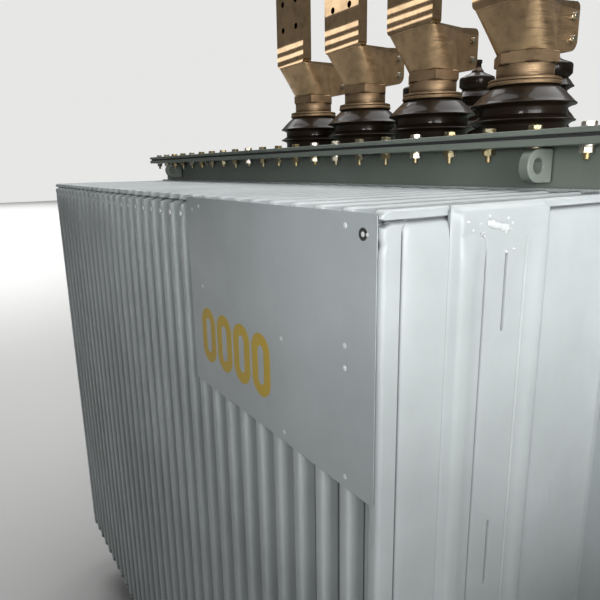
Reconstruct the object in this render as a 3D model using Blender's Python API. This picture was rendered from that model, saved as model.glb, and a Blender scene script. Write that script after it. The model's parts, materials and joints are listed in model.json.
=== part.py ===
"""Oil-filled power transformer with a deep corrugated-fin tank, porcelain bushings and flag clamps.

Metres, +Z up. The origin is on the floor below the middle of the tank. The long side with the
low-voltage bushings and the number panel faces -Y; the long direction is X.
"""
import math

import bmesh
import bpy
from mathutils import Matrix, Vector

GAP = 0.0003            # clearance that touching pieces keep
OVERRUN = 0.01          # how far a cutter reaches past the face it cuts

# Tank body
TANK_LENGTH = 1.70
TANK_WIDTH = 0.70
WALL = 0.010            # plate that the fins stand on
FIN_BOTTOM = 0.16
FIN_RISE = 1.27         # height of the fins

# Corrugated fins
FIN_PITCH = 0.050
LONG_FIN_MARGIN = 0.050     # end of the long wall to the middle of its last fin
SHORT_FIN_MARGIN = 0.064
LONG_FIN_DEPTH = 0.40
SHORT_FIN_DEPTH = 0.25
FIN_THICKNESS = 0.022   # over the bulged oil channel
FOLD_THICKNESS = 0.014  # over the outer folded strip
SEAM_THICKNESS = 0.004  # where the ends are pressed and welded shut
FOLD_STRIP = 0.024      # depth of the outer folded strip
CREASE = 0.008          # depth of the step between strip and channel
SEAM = 0.012            # height of the welded seam band
SEAM_FLARE = 0.014      # height over which the seam swells to full thickness
CORNER_ROUND = 0.009    # how far the fold draws back at the fin's top and bottom

# Base
CHANNEL_HEIGHT = 0.14
CHANNEL_WIDTH = 0.060
CHANNEL_WEB = 0.007
CHANNEL_FLANGE = 0.010
CHANNEL_OVERHANG = 0.27     # channel beyond each long wall
CHANNEL_SPACING = 1.07
BASE_PLATE = 0.012
BASE_MARGIN = 0.012     # base plate beyond the tank walls

# Collar, gasket and cover
COLLAR_RISE = 0.061     # tank above the fins, up to the flange
FLANGE_REACH = 0.050    # flange beyond the tank wall
FRAME_FLANGE = 0.010
GASKET = 0.004
COVER = 0.0075
GASKET_INSET = 0.004
CORNER_CUT = 0.018      # chamfer at the corners of flange and cover

# Panel with the rating number, fixed on the outer folds of the front fins
PANEL_LENGTH = 0.465
PANEL_HEIGHT = 0.306
PANEL_THICKNESS = 0.0015
PANEL_TOP_DROP = 0.0035
PANEL_LAP = 0.003       # panel beyond the middle of the last fin

# Pressed stiffener on the outer side of each end fin
STIFFENER_DEPTH = 0.1665    # outer fold to the middle of the stiffener
STIFFENER_WIDTH = 0.159
STIFFENER_PROUD = 0.012
STIFFENER_RIDGE = 0.042     # each flat ridge beside the web
STIFFENER_ROUND = 0.006     # rounded outer edge
STIFFENER_STEPS = 3         # facets of the rounded edge
STIFFENER_GROOVE = 0.003    # web below the ridges
STIFFENER_SLOPE = 0.006     # run from ridge to web
BEAD_WIDTH = 0.012
BEAD_DEEP = 0.003
BEAD_LENGTH = 0.090
BEAD_PITCH = 0.328
BEAD_DROP = 0.096           # top of the fin to the middle of the first bead

# Low-voltage bushings
LV_NAMES = ("lv_neutral", "lv_phase_a", "lv_phase_b", "lv_phase_c")
LV_PITCH = 0.214
LV_SHIFT = 0.234        # middle of the row from the middle of the tank
LV_INSET = 0.140        # bushing axis inside the tank wall
LV_SHED_RADIUS = 0.0865
LV_CORE_RADIUS = 0.0730
LV_HEAD_RADIUS = 0.0570
LV_HEIGHT = 0.082
LV_SHEDS = 2
LV_SHOULDER = 0.028     # cone from the top shed up to the head
LV_SHED_UNDER = 0.006   # height of the slope under a shed
LV_SHED_LIP = 0.003     # upright edge of a shed

# Metal rings above the low-voltage porcelain, read from the bottom up
DISC_RADIUS = 0.0600
DISC_HEIGHT = 0.008
WASHER_RADIUS = 0.0590
WASHER_HEIGHT = 0.005
NECK_RADIUS = 0.0470
NECK_HEIGHT = 0.022
NUT_RADIUS = 0.0515
NUT_HEIGHT = 0.019
STUD_RADIUS = 0.021
STUD_RISE = 0.070       # stud above the nut, inside the clamp hub

# Cast flag clamp
HUB_RADIUS = 0.0475
HUB_HEIGHT = 0.078
HUB_ANGLES = (0, 25, 50, 75)        # degrees from the front, where the hub's outline has points
CLAMP_LEVEL_SHARES = (0, 0.5, 1)    # shares of the hub's height
PALM_EDGE_SHARE = 0.75              # share of the palm's half width where its edge begins
CLAMP_SLIT = 0.008
EAR_REACH = 0.088       # ears behind the stud axis
EAR_WIDTH = 0.072       # across both ears
EAR_CORNER = 0.010
PALM_WIDTH = 0.123
PALM_THICKNESS = 0.024
PALM_FRONT = 0.071      # palm face in front of the stud axis
PALM_BOTTOM = 0.074     # palm bottom above the hub's lower face
PALM_HEIGHT = 0.205
PALM_CORNER = 0.010
PALM_HOLE = 0.0070
PALM_HOLE_SPACING = 0.060
PALM_HOLE_DROP = 0.085  # palm bottom to the lower pair of holes

# High-voltage bushings
HV_NAMES = ("hv_phase_a", "hv_phase_b", "hv_phase_c")
HV_PITCH = 0.220
HV_SHIFT = 0.125
HV_INSET = 0.170
HV_BASE_RADIUS = 0.066
HV_NECK_RADIUS = 0.046
HV_HEIGHT = 0.183
HV_HEAD = 0.030         # plain head above the sheds
HV_SHEDS = 4
HV_SHED_STEP = 0.012
HV_SHED_LIP = 0.005
HV_HEAD_RISE = 0.012    # cone on top of the high-voltage porcelain
HV_CAP_RADIUS = 0.016
HV_CAP_HEIGHT = 0.021
HV_STUD_RADIUS = 0.009
HV_KNOB_RADIUS = 0.011
HV_KNOB_HEIGHT = 0.010

# Lifting lugs under the cover's flange
LUG_REACH = 0.056       # out from the collar, just past the flange's edge
LUG_HEIGHT = 0.047
LUG_THICKNESS = 0.016
LUG_EYE = 0.011
LUG_INSET = 0.145       # end of the tank to the lug
LUG_DROP = 0.002        # below the collar's flange
LUG_FACETS = 8

# Fittings on the cover and the tank
FITTING_INSET = 0.17    # end of the tank to the filler pipe and the thermometer pocket
FILLER_RADIUS = 0.030
FILLER_HEIGHT = 0.120
FILLER_CAP_RADIUS = 0.042
FILLER_CAP_HEIGHT = 0.030
CHANGER_INSET = 0.30
CHANGER_BACK_INSET = 0.15
CHANGER_RADIUS = 0.050
CHANGER_PLINTH = 0.020
CHANGER_KNOB_RADIUS = 0.030
CHANGER_KNOB_HEIGHT = 0.040
POCKET_BACK_INSET = 0.13
POCKET_RADIUS = 0.016
POCKET_HEIGHT = 0.045
POCKET_HEX_RADIUS = 0.024
POCKET_HEX_HEIGHT = 0.014
DRAIN_INSET = 0.037     # long wall to the drain valve's axis
DRAIN_RISE = 0.045      # foot of the fins to the drain valve's axis
DRAIN_PIPE_RADIUS = 0.014
DRAIN_PIPE_REACH = 0.050
DRAIN_FLANGE_RADIUS = 0.022
DRAIN_FLANGE = 0.012
BOSS_RADIUS = 0.016
BOSS_REACH = 0.025
BOSS_FROM_END = 0.10    # end of the base channel to the earth boss

ROUND = 18              # facets round the large turned pieces
SMALL_ROUND = 12        # facets round the small ones

# Heights and planes worked out from the sizes above
FIN_TOP = FIN_BOTTOM + FIN_RISE
BODY_BOTTOM = CHANNEL_HEIGHT + GAP
TANK_FLOOR = BODY_BOTTOM + BASE_PLATE + GAP
COLLAR_TOP = FIN_TOP + COLLAR_RISE
FLANGE_TOP = COLLAR_TOP + FRAME_FLANGE
COVER_BOTTOM = FLANGE_TOP + GAP + GASKET + GAP
COVER_TOP = COVER_BOTTOM + COVER
LV_ROW_Y = LV_INSET - TANK_WIDTH / 2
HV_ROW_Y = TANK_WIDTH / 2 - HV_INSET
FRONT_FOLDS_Y = -TANK_WIDTH / 2 - LONG_FIN_DEPTH
SHORT_WALL = TANK_WIDTH - 2 * (WALL + GAP)
CHANNEL_LENGTH = TANK_WIDTH + 2 * CHANNEL_OVERHANG


def fins_along(length, margin):
    """Return how many fins at the common pitch stand between the two margins."""
    return 1 + math.floor((length - 2 * margin) / FIN_PITCH + GAP / FIN_PITCH)


LONG_FINS = fins_along(TANK_LENGTH, LONG_FIN_MARGIN)
SHORT_FINS = fins_along(SHORT_WALL, SHORT_FIN_MARGIN)
LAST_FIN_X = (LONG_FINS - 1) / 2 * FIN_PITCH

MATERIALS = {
    "tank_paint": ((0.56, 0.60, 0.63), 0.45, 0.0),
    "frame_paint": ((0.20, 0.25, 0.24), 0.45, 0.0),
    "panel_paint": ((0.45, 0.49, 0.52), 0.40, 0.0),
    "gasket_rubber": ((0.05, 0.05, 0.05), 0.80, 0.0),
    "brown_porcelain": ((0.055, 0.030, 0.022), 0.12, 0.0),
    "bronze": ((0.42, 0.31, 0.17), 0.35, 1.0),
    "zinc": ((0.62, 0.60, 0.52), 0.40, 1.0),
}


def clear_scene():
    for item in list(bpy.data.objects):
        bpy.data.objects.remove(item, do_unlink=True)


def material(name):
    """Return the named material, made the first time it is asked for."""
    found = bpy.data.materials.get(name)
    if found:
        return found
    colour, roughness, metallic = MATERIALS[name]
    made = bpy.data.materials.new(name)
    made.use_nodes = True
    shader = made.node_tree.nodes["Principled BSDF"]
    shader.inputs["Base Color"].default_value = (*colour, 1)
    shader.inputs["Roughness"].default_value = roughness
    shader.inputs["Metallic"].default_value = metallic
    return made


def add_object(name, shape, finish, smooth=False):
    """Turn a bmesh into a named object with its material."""
    bmesh.ops.recalc_face_normals(shape, faces=shape.faces)
    mesh = bpy.data.meshes.new(name)
    shape.to_mesh(mesh)
    shape.free()
    mesh.materials.append(material(finish))
    if smooth:
        mesh.shade_smooth()
        mesh.set_sharp_from_angle(angle=math.radians(35))
    item = bpy.data.objects.new(name, mesh)
    bpy.context.scene.collection.objects.link(item)
    return item


def add_copy(name, original):
    """Return a further piece that shares its mesh with the first."""
    item = bpy.data.objects.new(name, original.data)
    bpy.context.scene.collection.objects.link(item)
    return item


def place(item, location, turn=0):
    """Move an object to its place and turn it about the upright axis."""
    item.location = location
    item.rotation_euler = (0, 0, turn)
    return item


def loft(sections):
    """Skin a list of rings of equal length, with a cap on each end."""
    shape = bmesh.new()
    rings = [[shape.verts.new(point) for point in ring] for ring in sections]
    for low, high in zip(rings, rings[1:]):
        for i in range(len(low)):
            j = (i + 1) % len(low)
            shape.faces.new((low[i], low[j], high[j], high[i]))
    shape.faces.new(list(reversed(rings[0])))
    shape.faces.new(rings[-1])
    return shape


def prism(outline, low, high):
    """Extrude an outline in the XY plane from one height to another."""
    return loft([[(x, y, z) for x, y in outline] for z in (low, high)])


def rectangle(length, width, corner_cut=0):
    """Return the outline of a rectangle about the origin, with chamfered corners if asked."""
    x, y, c = length / 2, width / 2, corner_cut
    if not c:
        return [(-x, -y), (x, -y), (x, y), (-x, y)]
    return [(-x + c, -y), (x - c, -y), (x, -y + c), (x, y - c),
            (x - c, y), (-x + c, y), (-x, y - c), (-x, -y + c)]


def turned(profile, facets=ROUND):
    """Turn a profile of (radius, height) points, read from the bottom up, about the Z axis.

    A point of radius 0 at either end closes the shape in a fan.
    """
    shape = bmesh.new()
    turn = [2 * math.pi * k / facets for k in range(facets)]
    rings = []
    for radius, height in profile:
        around = turn if radius else turn[:1]
        rings.append([shape.verts.new((radius * math.cos(a), radius * math.sin(a), height)) for a in around])
    for low, high in zip(rings, rings[1:]):
        for i in range(facets):
            j = (i + 1) % facets
            corners = [low[i % len(low)], low[j % len(low)], high[j % len(high)], high[i % len(high)]]
            shape.faces.new(list(dict.fromkeys(corners)))
    return shape


def stepped(*steps):
    """Return a turned profile for a stack of discs, each given as (radius, height)."""
    points = [(0, 0)]
    level = 0
    for radius, rise in steps:
        points += [(radius, level), (radius, level + rise)]
        level += rise
    return points + [(0, level)]


def combine(target, shape, operation):
    """Cut a shape out of an object, or fuse it on, with a Boolean modifier."""
    bmesh.ops.recalc_face_normals(shape, faces=shape.faces)
    mesh = bpy.data.meshes.new(target.name + "_tool")
    shape.to_mesh(mesh)
    shape.free()
    tool = bpy.data.objects.new(target.name + "_tool", mesh)
    bpy.context.scene.collection.objects.link(tool)
    tool.parent = target
    tool.hide_render = True
    tool.display_type = "WIRE"
    step = target.modifiers.new(operation.lower(), "BOOLEAN")
    step.operation = operation
    step.solver = "EXACT"
    step.object = tool


def cut(target, shape):
    combine(target, shape, "DIFFERENCE")


def join(target, shape):
    combine(target, shape, "UNION")


def rod(radius, start, end, facets=SMALL_ROUND):
    """Return a closed rod between two points."""
    start, end = Vector(start), Vector(end)
    shape = turned(stepped((radius, (end - start).length)), facets)
    turn = (end - start).to_track_quat("Z", "Y").to_matrix().to_4x4()
    shape.transform(Matrix.Translation(start) @ turn)
    return shape


def fin_outline(centre, depth, body, fold, draw_back):
    """Return one fin's outline from root to root: oil channel, crease and folded strip."""
    half = [(body / 2, 0), (body / 2, depth - FOLD_STRIP - CREASE - draw_back),
            (fold / 2, depth - FOLD_STRIP), (fold / 2, depth - draw_back)]
    left = [(centre - across, out) for across, out in half]
    right = [(centre + across, out) for across, out in reversed(half)]
    return left + right


def fin_wall(name, count, length, depth):
    """Build one tank wall with all its fins, as a loft through the welded seams and the channels.

    It is modelled with the plate's outer face on y = 0 and the fins pointing to -Y.
    """
    swell = SEAM + SEAM_FLARE
    seam, full = (SEAM_THICKNESS, SEAM_THICKNESS), (FIN_THICKNESS, FOLD_THICKNESS)
    levels = [(0, seam, CORNER_ROUND), (SEAM, seam, 0), (swell, full, 0),
              (FIN_RISE - swell, full, 0), (FIN_RISE - SEAM, seam, 0), (FIN_RISE, seam, CORNER_ROUND)]
    sections = []
    for height, (body, fold), draw_back in levels:
        outline = [(-length / 2, 0)]
        for k in range(count):
            outline += fin_outline((k - (count - 1) / 2) * FIN_PITCH, depth, body, fold, draw_back)
        outline += [(length / 2, 0), (length / 2, -WALL), (-length / 2, -WALL)]
        sections.append([(x, -out, FIN_BOTTOM + height) for x, out in outline])
    return add_object(name, loft(sections), "tank_paint")


def build_fin_walls():
    front = fin_wall("front_fin_wall", LONG_FINS, TANK_LENGTH, LONG_FIN_DEPTH)
    place(front, (0, -TANK_WIDTH / 2, 0))
    place(add_copy("back_fin_wall", front), (0, TANK_WIDTH / 2, 0), math.pi)
    right = fin_wall("right_fin_wall", SHORT_FINS, SHORT_WALL, SHORT_FIN_DEPTH)
    place(right, (TANK_LENGTH / 2, 0, 0), math.pi / 2)
    place(add_copy("left_fin_wall", right), (-TANK_LENGTH / 2, 0, 0), -math.pi / 2)


def build_tank_body():
    """Build the closed tank inside the fin walls, standing on the base plate."""
    inner = rectangle(TANK_LENGTH - 2 * (WALL + GAP), SHORT_WALL)
    add_object("tank_body", prism(inner, TANK_FLOOR, FIN_TOP), "tank_paint")


def channel_section():
    """Return a rolled channel's section in X and Z, its back at x = 0."""
    wide, high, web, flange = CHANNEL_WIDTH, CHANNEL_HEIGHT, CHANNEL_WEB, CHANNEL_FLANGE
    return [(0, 0), (wide, 0), (wide, flange), (web, flange),
            (web, high - flange), (wide, high - flange), (wide, high), (0, high)]


def build_base():
    """Build the base plate on its two cross channels, whose open sides face outwards."""
    outline = rectangle(TANK_LENGTH + 2 * BASE_MARGIN, TANK_WIDTH + 2 * BASE_MARGIN, BASE_MARGIN)
    add_object("tank_base_plate", prism(outline, BODY_BOTTOM, BODY_BOTTOM + BASE_PLATE), "frame_paint")
    ends = (-CHANNEL_LENGTH / 2, CHANNEL_LENGTH / 2)
    shape = loft([[(x, y, z) for x, z in channel_section()] for y in ends])
    back = CHANNEL_SPACING / 2 - CHANNEL_WIDTH / 2
    right = place(add_object("base_channel_right", shape, "frame_paint"), (back, 0, 0))
    place(add_copy("base_channel_left", right), (-back, 0, 0), math.pi)


def build_collar():
    """Build the dark tank collar with its outward flange."""
    wall = rectangle(TANK_LENGTH, TANK_WIDTH)
    flange = rectangle(TANK_LENGTH + 2 * FLANGE_REACH, TANK_WIDTH + 2 * FLANGE_REACH, CORNER_CUT)
    body = prism(wall, FIN_TOP + GAP, COLLAR_TOP + FRAME_FLANGE / 2)
    collar = add_object("tank_collar", body, "frame_paint")
    join(collar, prism(flange, COLLAR_TOP, FLANGE_TOP))


def build_cover():
    reach = 2 * FLANGE_REACH
    gasket_reach = 2 * (FLANGE_REACH - GASKET_INSET)
    gasket = rectangle(TANK_LENGTH + gasket_reach, TANK_WIDTH + gasket_reach, CORNER_CUT)
    low = FLANGE_TOP + GAP
    add_object("cover_gasket", prism(gasket, low, low + GASKET), "gasket_rubber")
    cover = rectangle(TANK_LENGTH + reach, TANK_WIDTH + reach, CORNER_CUT)
    add_object("cover_plate", prism(cover, COVER_BOTTOM, COVER_TOP), "frame_paint")


def build_panel():
    """Build the flat number panel on the outer folds of the front fins."""
    right = LAST_FIN_X + PANEL_LAP
    top = FIN_TOP - PANEL_TOP_DROP
    face = [(right - PANEL_LENGTH, top - PANEL_HEIGHT), (right, top - PANEL_HEIGHT),
            (right, top), (right - PANEL_LENGTH, top)]
    seat = FRONT_FOLDS_Y - GAP
    shape = loft([[(x, y, z) for x, z in face] for y in (seat - PANEL_THICKNESS, seat)])
    add_object("number_panel", shape, "panel_paint")


def stiffener_section():
    """Return half of the pressed section and its mirror: place along the fin, height above its side."""
    half, proud = STIFFENER_WIDTH / 2, STIFFENER_PROUD
    round_off = STIFFENER_ROUND
    turn = [math.pi / 2 * k / STIFFENER_STEPS for k in range(STIFFENER_STEPS + 1)]
    bulge = [(half - round_off * (1 - math.cos(a)), proud - round_off * (1 - math.sin(a))) for a in turn]
    inner = half - STIFFENER_RIDGE
    right = [(half, 0)] + bulge + [(inner, proud), (inner - STIFFENER_SLOPE, proud - STIFFENER_GROOVE)]
    return right + [(-along, high) for along, high in reversed(right)]


def bead(height):
    """Return the cutter of one pressed bead with pointed ends, standing in the web's face."""
    half, long = BEAD_WIDTH / 2, BEAD_LENGTH / 2
    face = STIFFENER_PROUD - STIFFENER_GROOVE
    outline = [(-half, -long + half), (0, -long), (half, -long + half),
               (half, long - half), (0, long), (-half, long - half)]
    return loft([[(x, y, height + z) for y, z in outline] for x in (face - BEAD_DEEP, face + OVERRUN)])


def build_stiffeners():
    """Build the upright pressed stiffeners on the outer sides of the four end fins."""
    low, high = FIN_BOTTOM + SEAM + SEAM_FLARE, FIN_TOP
    shape = loft([[(across, -along, z) for along, across in stiffener_section()] for z in (low, high)])
    first = add_object("stiffener_front_right", shape, "tank_paint", smooth=True)
    height = high - BEAD_DROP
    while height > low + BEAD_LENGTH:
        cut(first, bead(height))
        height -= BEAD_PITCH
    seat = LAST_FIN_X + FIN_THICKNESS / 2 + GAP
    middle = -FRONT_FOLDS_Y - STIFFENER_DEPTH
    place(first, (seat, -middle, 0))
    place(twin("stiffener_back_right", first), (seat, middle, 0))
    place(twin("stiffener_front_left", first), (-seat, -middle, 0), math.pi)
    place(twin("stiffener_back_left", first), (-seat, middle, 0), math.pi)


def twin(name, original):
    """Return a copy of a piece together with its own cutters and added shapes."""
    item = add_copy(name, original)
    for step in original.modifiers:
        tool = add_copy(name + "_tool", step.object)
        tool.parent = item
        tool.hide_render = True
        tool.display_type = "WIRE"
        again = item.modifiers.new(step.name, "BOOLEAN")
        again.operation = step.operation
        again.solver = "EXACT"
        again.object = tool
    return item


def tapered_sheds():
    """Return the high-voltage porcelain's profile, its sheds narrowing from base to head."""
    base, neck, step, lip = HV_BASE_RADIUS, HV_NECK_RADIUS, HV_SHED_STEP, HV_SHED_LIP
    height = HV_HEIGHT - HV_HEAD
    points = [(0, 0), (base - step, 0)]
    for k in range(HV_SHEDS):
        rim = base + (neck - base) * k / HV_SHEDS
        core = base + (neck - base) * (k + 1) / HV_SHEDS - step
        start = height * k / HV_SHEDS
        points += [(rim, start + lip), (rim, start + 2 * lip), (core, height * (k + 1) / HV_SHEDS)]
    points[-1] = (neck, height)
    full = HV_HEIGHT + HV_HEAD_RISE
    return points + [(neck, HV_HEIGHT), (HV_CAP_RADIUS, full), (0, full)]


def bell_sheds():
    """Return the low-voltage porcelain's profile: equal sheds, then a cone up to the head."""
    pitch = (LV_HEIGHT - LV_SHOULDER) / LV_SHEDS
    points = [(0, 0), (LV_CORE_RADIUS, 0)]
    for k in range(LV_SHEDS):
        rim = pitch * (k + 1)
        points += [(LV_CORE_RADIUS, rim - LV_SHED_LIP - LV_SHED_UNDER), (LV_SHED_RADIUS, rim - LV_SHED_LIP),
                   (LV_SHED_RADIUS, rim)]
        if k < LV_SHEDS - 1:
            points.append((LV_CORE_RADIUS, rim + LV_SHED_UNDER))
    return points + [(LV_HEAD_RADIUS, LV_HEIGHT), (0, LV_HEIGHT)]


def row_places(count, pitch, shift, y):
    """Return the seats of a row of bushings on the cover."""
    return [(shift + (k - (count - 1) / 2) * pitch, y, COVER_TOP + GAP) for k in range(count)]


def above(seat, height):
    return (seat[0], seat[1], seat[2] + height + GAP)


def build_lv_bushings():
    """Build the low-voltage bushings: porcelain, bronze rings with their stud, flag clamp."""
    body = turned(bell_sheds())
    rings = turned(stepped((DISC_RADIUS, DISC_HEIGHT), (WASHER_RADIUS, WASHER_HEIGHT),
                           (NECK_RADIUS, NECK_HEIGHT), (NUT_RADIUS, NUT_HEIGHT), (STUD_RADIUS, STUD_RISE)))
    porcelain = add_object(LV_NAMES[0] + "_porcelain", body, "brown_porcelain", smooth=True)
    stud = add_object(LV_NAMES[0] + "_stud", rings, "bronze", smooth=True)
    clamp = flag_clamp(LV_NAMES[0] + "_flag_clamp")
    rings_height = DISC_HEIGHT + WASHER_HEIGHT + NECK_HEIGHT + NUT_HEIGHT
    for k, seat in enumerate(row_places(len(LV_NAMES), LV_PITCH, LV_SHIFT, LV_ROW_Y)):
        name = LV_NAMES[k]
        top = above(seat, LV_HEIGHT)
        place(twin(name + "_porcelain", porcelain) if k else porcelain, seat)
        place(twin(name + "_stud", stud) if k else stud, top)
        place(twin(name + "_flag_clamp", clamp) if k else clamp, above(top, rings_height))


def clamp_ring(share):
    """Return the clamp body's outline at a share of its height, from hub below to palm above.

    The front swells from the round hub to the palm's full width; the ears behind stay straight.
    """
    ear, back, corner = EAR_WIDTH / 2, EAR_REACH, EAR_CORNER
    turn = [math.radians(a) for a in HUB_ANGLES]
    round_front = [(HUB_RADIUS * math.sin(a), -HUB_RADIUS * math.cos(a)) for a in turn]
    wide = PALM_WIDTH / 2
    square_front = [(0, -PALM_FRONT), (wide * PALM_EDGE_SHARE, -PALM_FRONT), (wide, -PALM_FRONT),
                    (wide, PALM_THICKNESS - PALM_FRONT)]
    front = [(a + (c - a) * share, b + (d - b) * share)
             for (a, b), (c, d) in zip(round_front, square_front)]
    right = front + [(HUB_RADIUS, 0), (ear, HUB_RADIUS), (ear, back - corner), (ear - corner, back)]
    left = [(-x, y) for x, y in reversed(right[1:])]
    return right + left


def palm():
    """Return the upright palm plate with its corners cut."""
    wide, c = PALM_WIDTH / 2, PALM_CORNER
    low, high = PALM_BOTTOM, PALM_BOTTOM + PALM_HEIGHT
    outline = [(-wide + c, low), (wide - c, low), (wide, low + c), (wide, high - c),
               (wide - c, high), (-wide + c, high), (-wide, high - c), (-wide, low + c)]
    return loft([[(x, y, z) for x, z in outline] for y in (-PALM_FRONT, PALM_THICKNESS - PALM_FRONT)])


def flag_clamp(name):
    """Build a cast flag clamp: split hub with ears below, tall palm with four bolt holes above."""
    body = loft([[(x, y, HUB_HEIGHT * share) for x, y in clamp_ring(share)]
                 for share in CLAMP_LEVEL_SHARES])
    clamp = add_object(name, body, "bronze")
    join(clamp, palm())
    well = turned(stepped((STUD_RADIUS + GAP, STUD_RISE + GAP + OVERRUN)))
    well.transform(Matrix.Translation((0, 0, -OVERRUN)))
    cut(clamp, well)
    half = CLAMP_SLIT / 2
    slit = [(-half, 0), (half, 0), (half, EAR_REACH + OVERRUN), (-half, EAR_REACH + OVERRUN)]
    cut(clamp, prism(slit, -OVERRUN, HUB_HEIGHT + OVERRUN))
    low = PALM_BOTTOM + PALM_HOLE_DROP
    front, back = -PALM_FRONT - OVERRUN, PALM_THICKNESS - PALM_FRONT + OVERRUN
    for x in (-PALM_HOLE_SPACING / 2, PALM_HOLE_SPACING / 2):
        for z in (low, low + PALM_HOLE_SPACING):
            cut(clamp, rod(PALM_HOLE, (x, front, z), (x, back, z)))
    return clamp


def build_hv_bushings():
    """Build the high-voltage bushings behind the low-voltage row."""
    full = HV_HEIGHT + HV_HEAD_RISE
    body = turned(tapered_sheds())
    top = HV_CAP_HEIGHT + HV_KNOB_HEIGHT
    cap = turned([(0, 0), (HV_CAP_RADIUS, 0), (HV_STUD_RADIUS, HV_CAP_HEIGHT), (HV_KNOB_RADIUS, HV_CAP_HEIGHT),
                  (HV_KNOB_RADIUS, top), (0, top)], SMALL_ROUND)
    porcelain = add_object(HV_NAMES[0] + "_porcelain", body, "brown_porcelain", smooth=True)
    terminal = add_object(HV_NAMES[0] + "_terminal", cap, "bronze", smooth=True)
    for k, seat in enumerate(row_places(len(HV_NAMES), HV_PITCH, HV_SHIFT, HV_ROW_Y)):
        name = HV_NAMES[k]
        place(twin(name + "_porcelain", porcelain) if k else porcelain, seat)
        place(twin(name + "_terminal", terminal) if k else terminal, above(seat, full))


def lug_outline():
    """Return a lifting lug's outline, out from the wall and up, with a round nose."""
    half = LUG_HEIGHT / 2
    centre = LUG_REACH - half
    turn = [math.pi * k / LUG_FACETS - math.pi / 2 for k in range(LUG_FACETS + 1)]
    nose = [(centre + half * math.cos(a), half + half * math.sin(a)) for a in turn]
    return [(0, 0)] + nose + [(0, LUG_HEIGHT)]


def build_lifting_lugs():
    """Build the four lifting lugs that stand out from the collar under its flange."""
    faces = (-LUG_THICKNESS / 2, LUG_THICKNESS / 2)
    shape = loft([[(across, -out, z) for out, z in lug_outline()] for across in faces])
    first = add_object("lifting_lug_front_left", shape, "frame_paint")
    out, up = LUG_REACH - LUG_HEIGHT / 2, LUG_HEIGHT / 2
    cut(first, rod(LUG_EYE, (faces[0] - OVERRUN, -out, up), (faces[1] + OVERRUN, -out, up)))
    x, y, z = TANK_LENGTH / 2 - LUG_INSET, TANK_WIDTH / 2 + GAP, COLLAR_TOP - LUG_HEIGHT - LUG_DROP
    place(first, (-x, -y, z))
    place(twin("lifting_lug_front_right", first), (x, -y, z))
    place(twin("lifting_lug_back_left", first), (-x, y, z), math.pi)
    place(twin("lifting_lug_back_right", first), (x, y, z), math.pi)


def build_cover_fittings():
    """Build the filler pipe, the tap changer and the thermometer pocket on the cover."""
    floor = COVER_TOP + GAP
    filler = stepped((FILLER_RADIUS, FILLER_HEIGHT), (FILLER_CAP_RADIUS, FILLER_CAP_HEIGHT))
    filler = add_object("filler_pipe", turned(filler), "frame_paint", smooth=True)
    place(filler, (TANK_LENGTH / 2 - FITTING_INSET, 0, floor))
    changer = stepped((CHANGER_RADIUS, CHANGER_PLINTH), (CHANGER_KNOB_RADIUS, CHANGER_KNOB_HEIGHT))
    changer = add_object("tap_changer", turned(changer), "zinc", smooth=True)
    place(changer, (CHANGER_INSET - TANK_LENGTH / 2, TANK_WIDTH / 2 - CHANGER_BACK_INSET, floor))
    pocket = stepped((POCKET_HEX_RADIUS, POCKET_HEX_HEIGHT), (POCKET_RADIUS, POCKET_HEIGHT))
    pocket = add_object("thermometer_pocket", turned(pocket, SMALL_ROUND), "zinc", smooth=True)
    place(pocket, (TANK_LENGTH / 2 - FITTING_INSET, TANK_WIDTH / 2 - POCKET_BACK_INSET, floor))


def build_low_fittings():
    """Build the drain valve beside the right wall's fins and an earth boss on each base channel."""
    valve = turned(stepped((DRAIN_FLANGE_RADIUS, DRAIN_FLANGE), (DRAIN_PIPE_RADIUS, DRAIN_PIPE_REACH),
                           (DRAIN_FLANGE_RADIUS, DRAIN_FLANGE)), SMALL_ROUND)
    valve.transform(Matrix.Rotation(math.pi / 2, 4, "Y"))
    valve = add_object("drain_valve", valve, "zinc", smooth=True)
    place(valve, (TANK_LENGTH / 2 + GAP, TANK_WIDTH / 2 - DRAIN_INSET, FIN_BOTTOM + DRAIN_RISE))
    boss = turned(stepped((BOSS_RADIUS, BOSS_REACH)), SMALL_ROUND)
    boss.transform(Matrix.Rotation(-math.pi / 2, 4, "Y"))
    left = add_object("earth_boss_right", boss, "zinc", smooth=True)
    x = CHANNEL_SPACING / 2 - CHANNEL_WIDTH / 2 - GAP
    y = CHANNEL_LENGTH / 2 - BOSS_FROM_END
    place(left, (x, -y, CHANNEL_HEIGHT / 2))
    place(add_copy("earth_boss_left", left), (-x, y, CHANNEL_HEIGHT / 2), math.pi)


def main():
    clear_scene()
    build_base()
    build_tank_body()
    build_fin_walls()
    build_collar()
    build_cover()
    build_panel()
    build_stiffeners()
    build_lv_bushings()
    build_hv_bushings()
    build_lifting_lugs()
    build_cover_fittings()
    build_low_fittings()


main()
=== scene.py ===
"""Looks of the power transformer: pressed fins, castings, porcelain, bolts, paint, light and camera.

Metres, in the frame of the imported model: +Z up, the long side with the number panel faces -Y.
"""
import json
import random
from math import cos, hypot, inf, pi, radians, sin, sqrt

import bmesh
import bpy
from mathutils import Matrix, Vector

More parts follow.
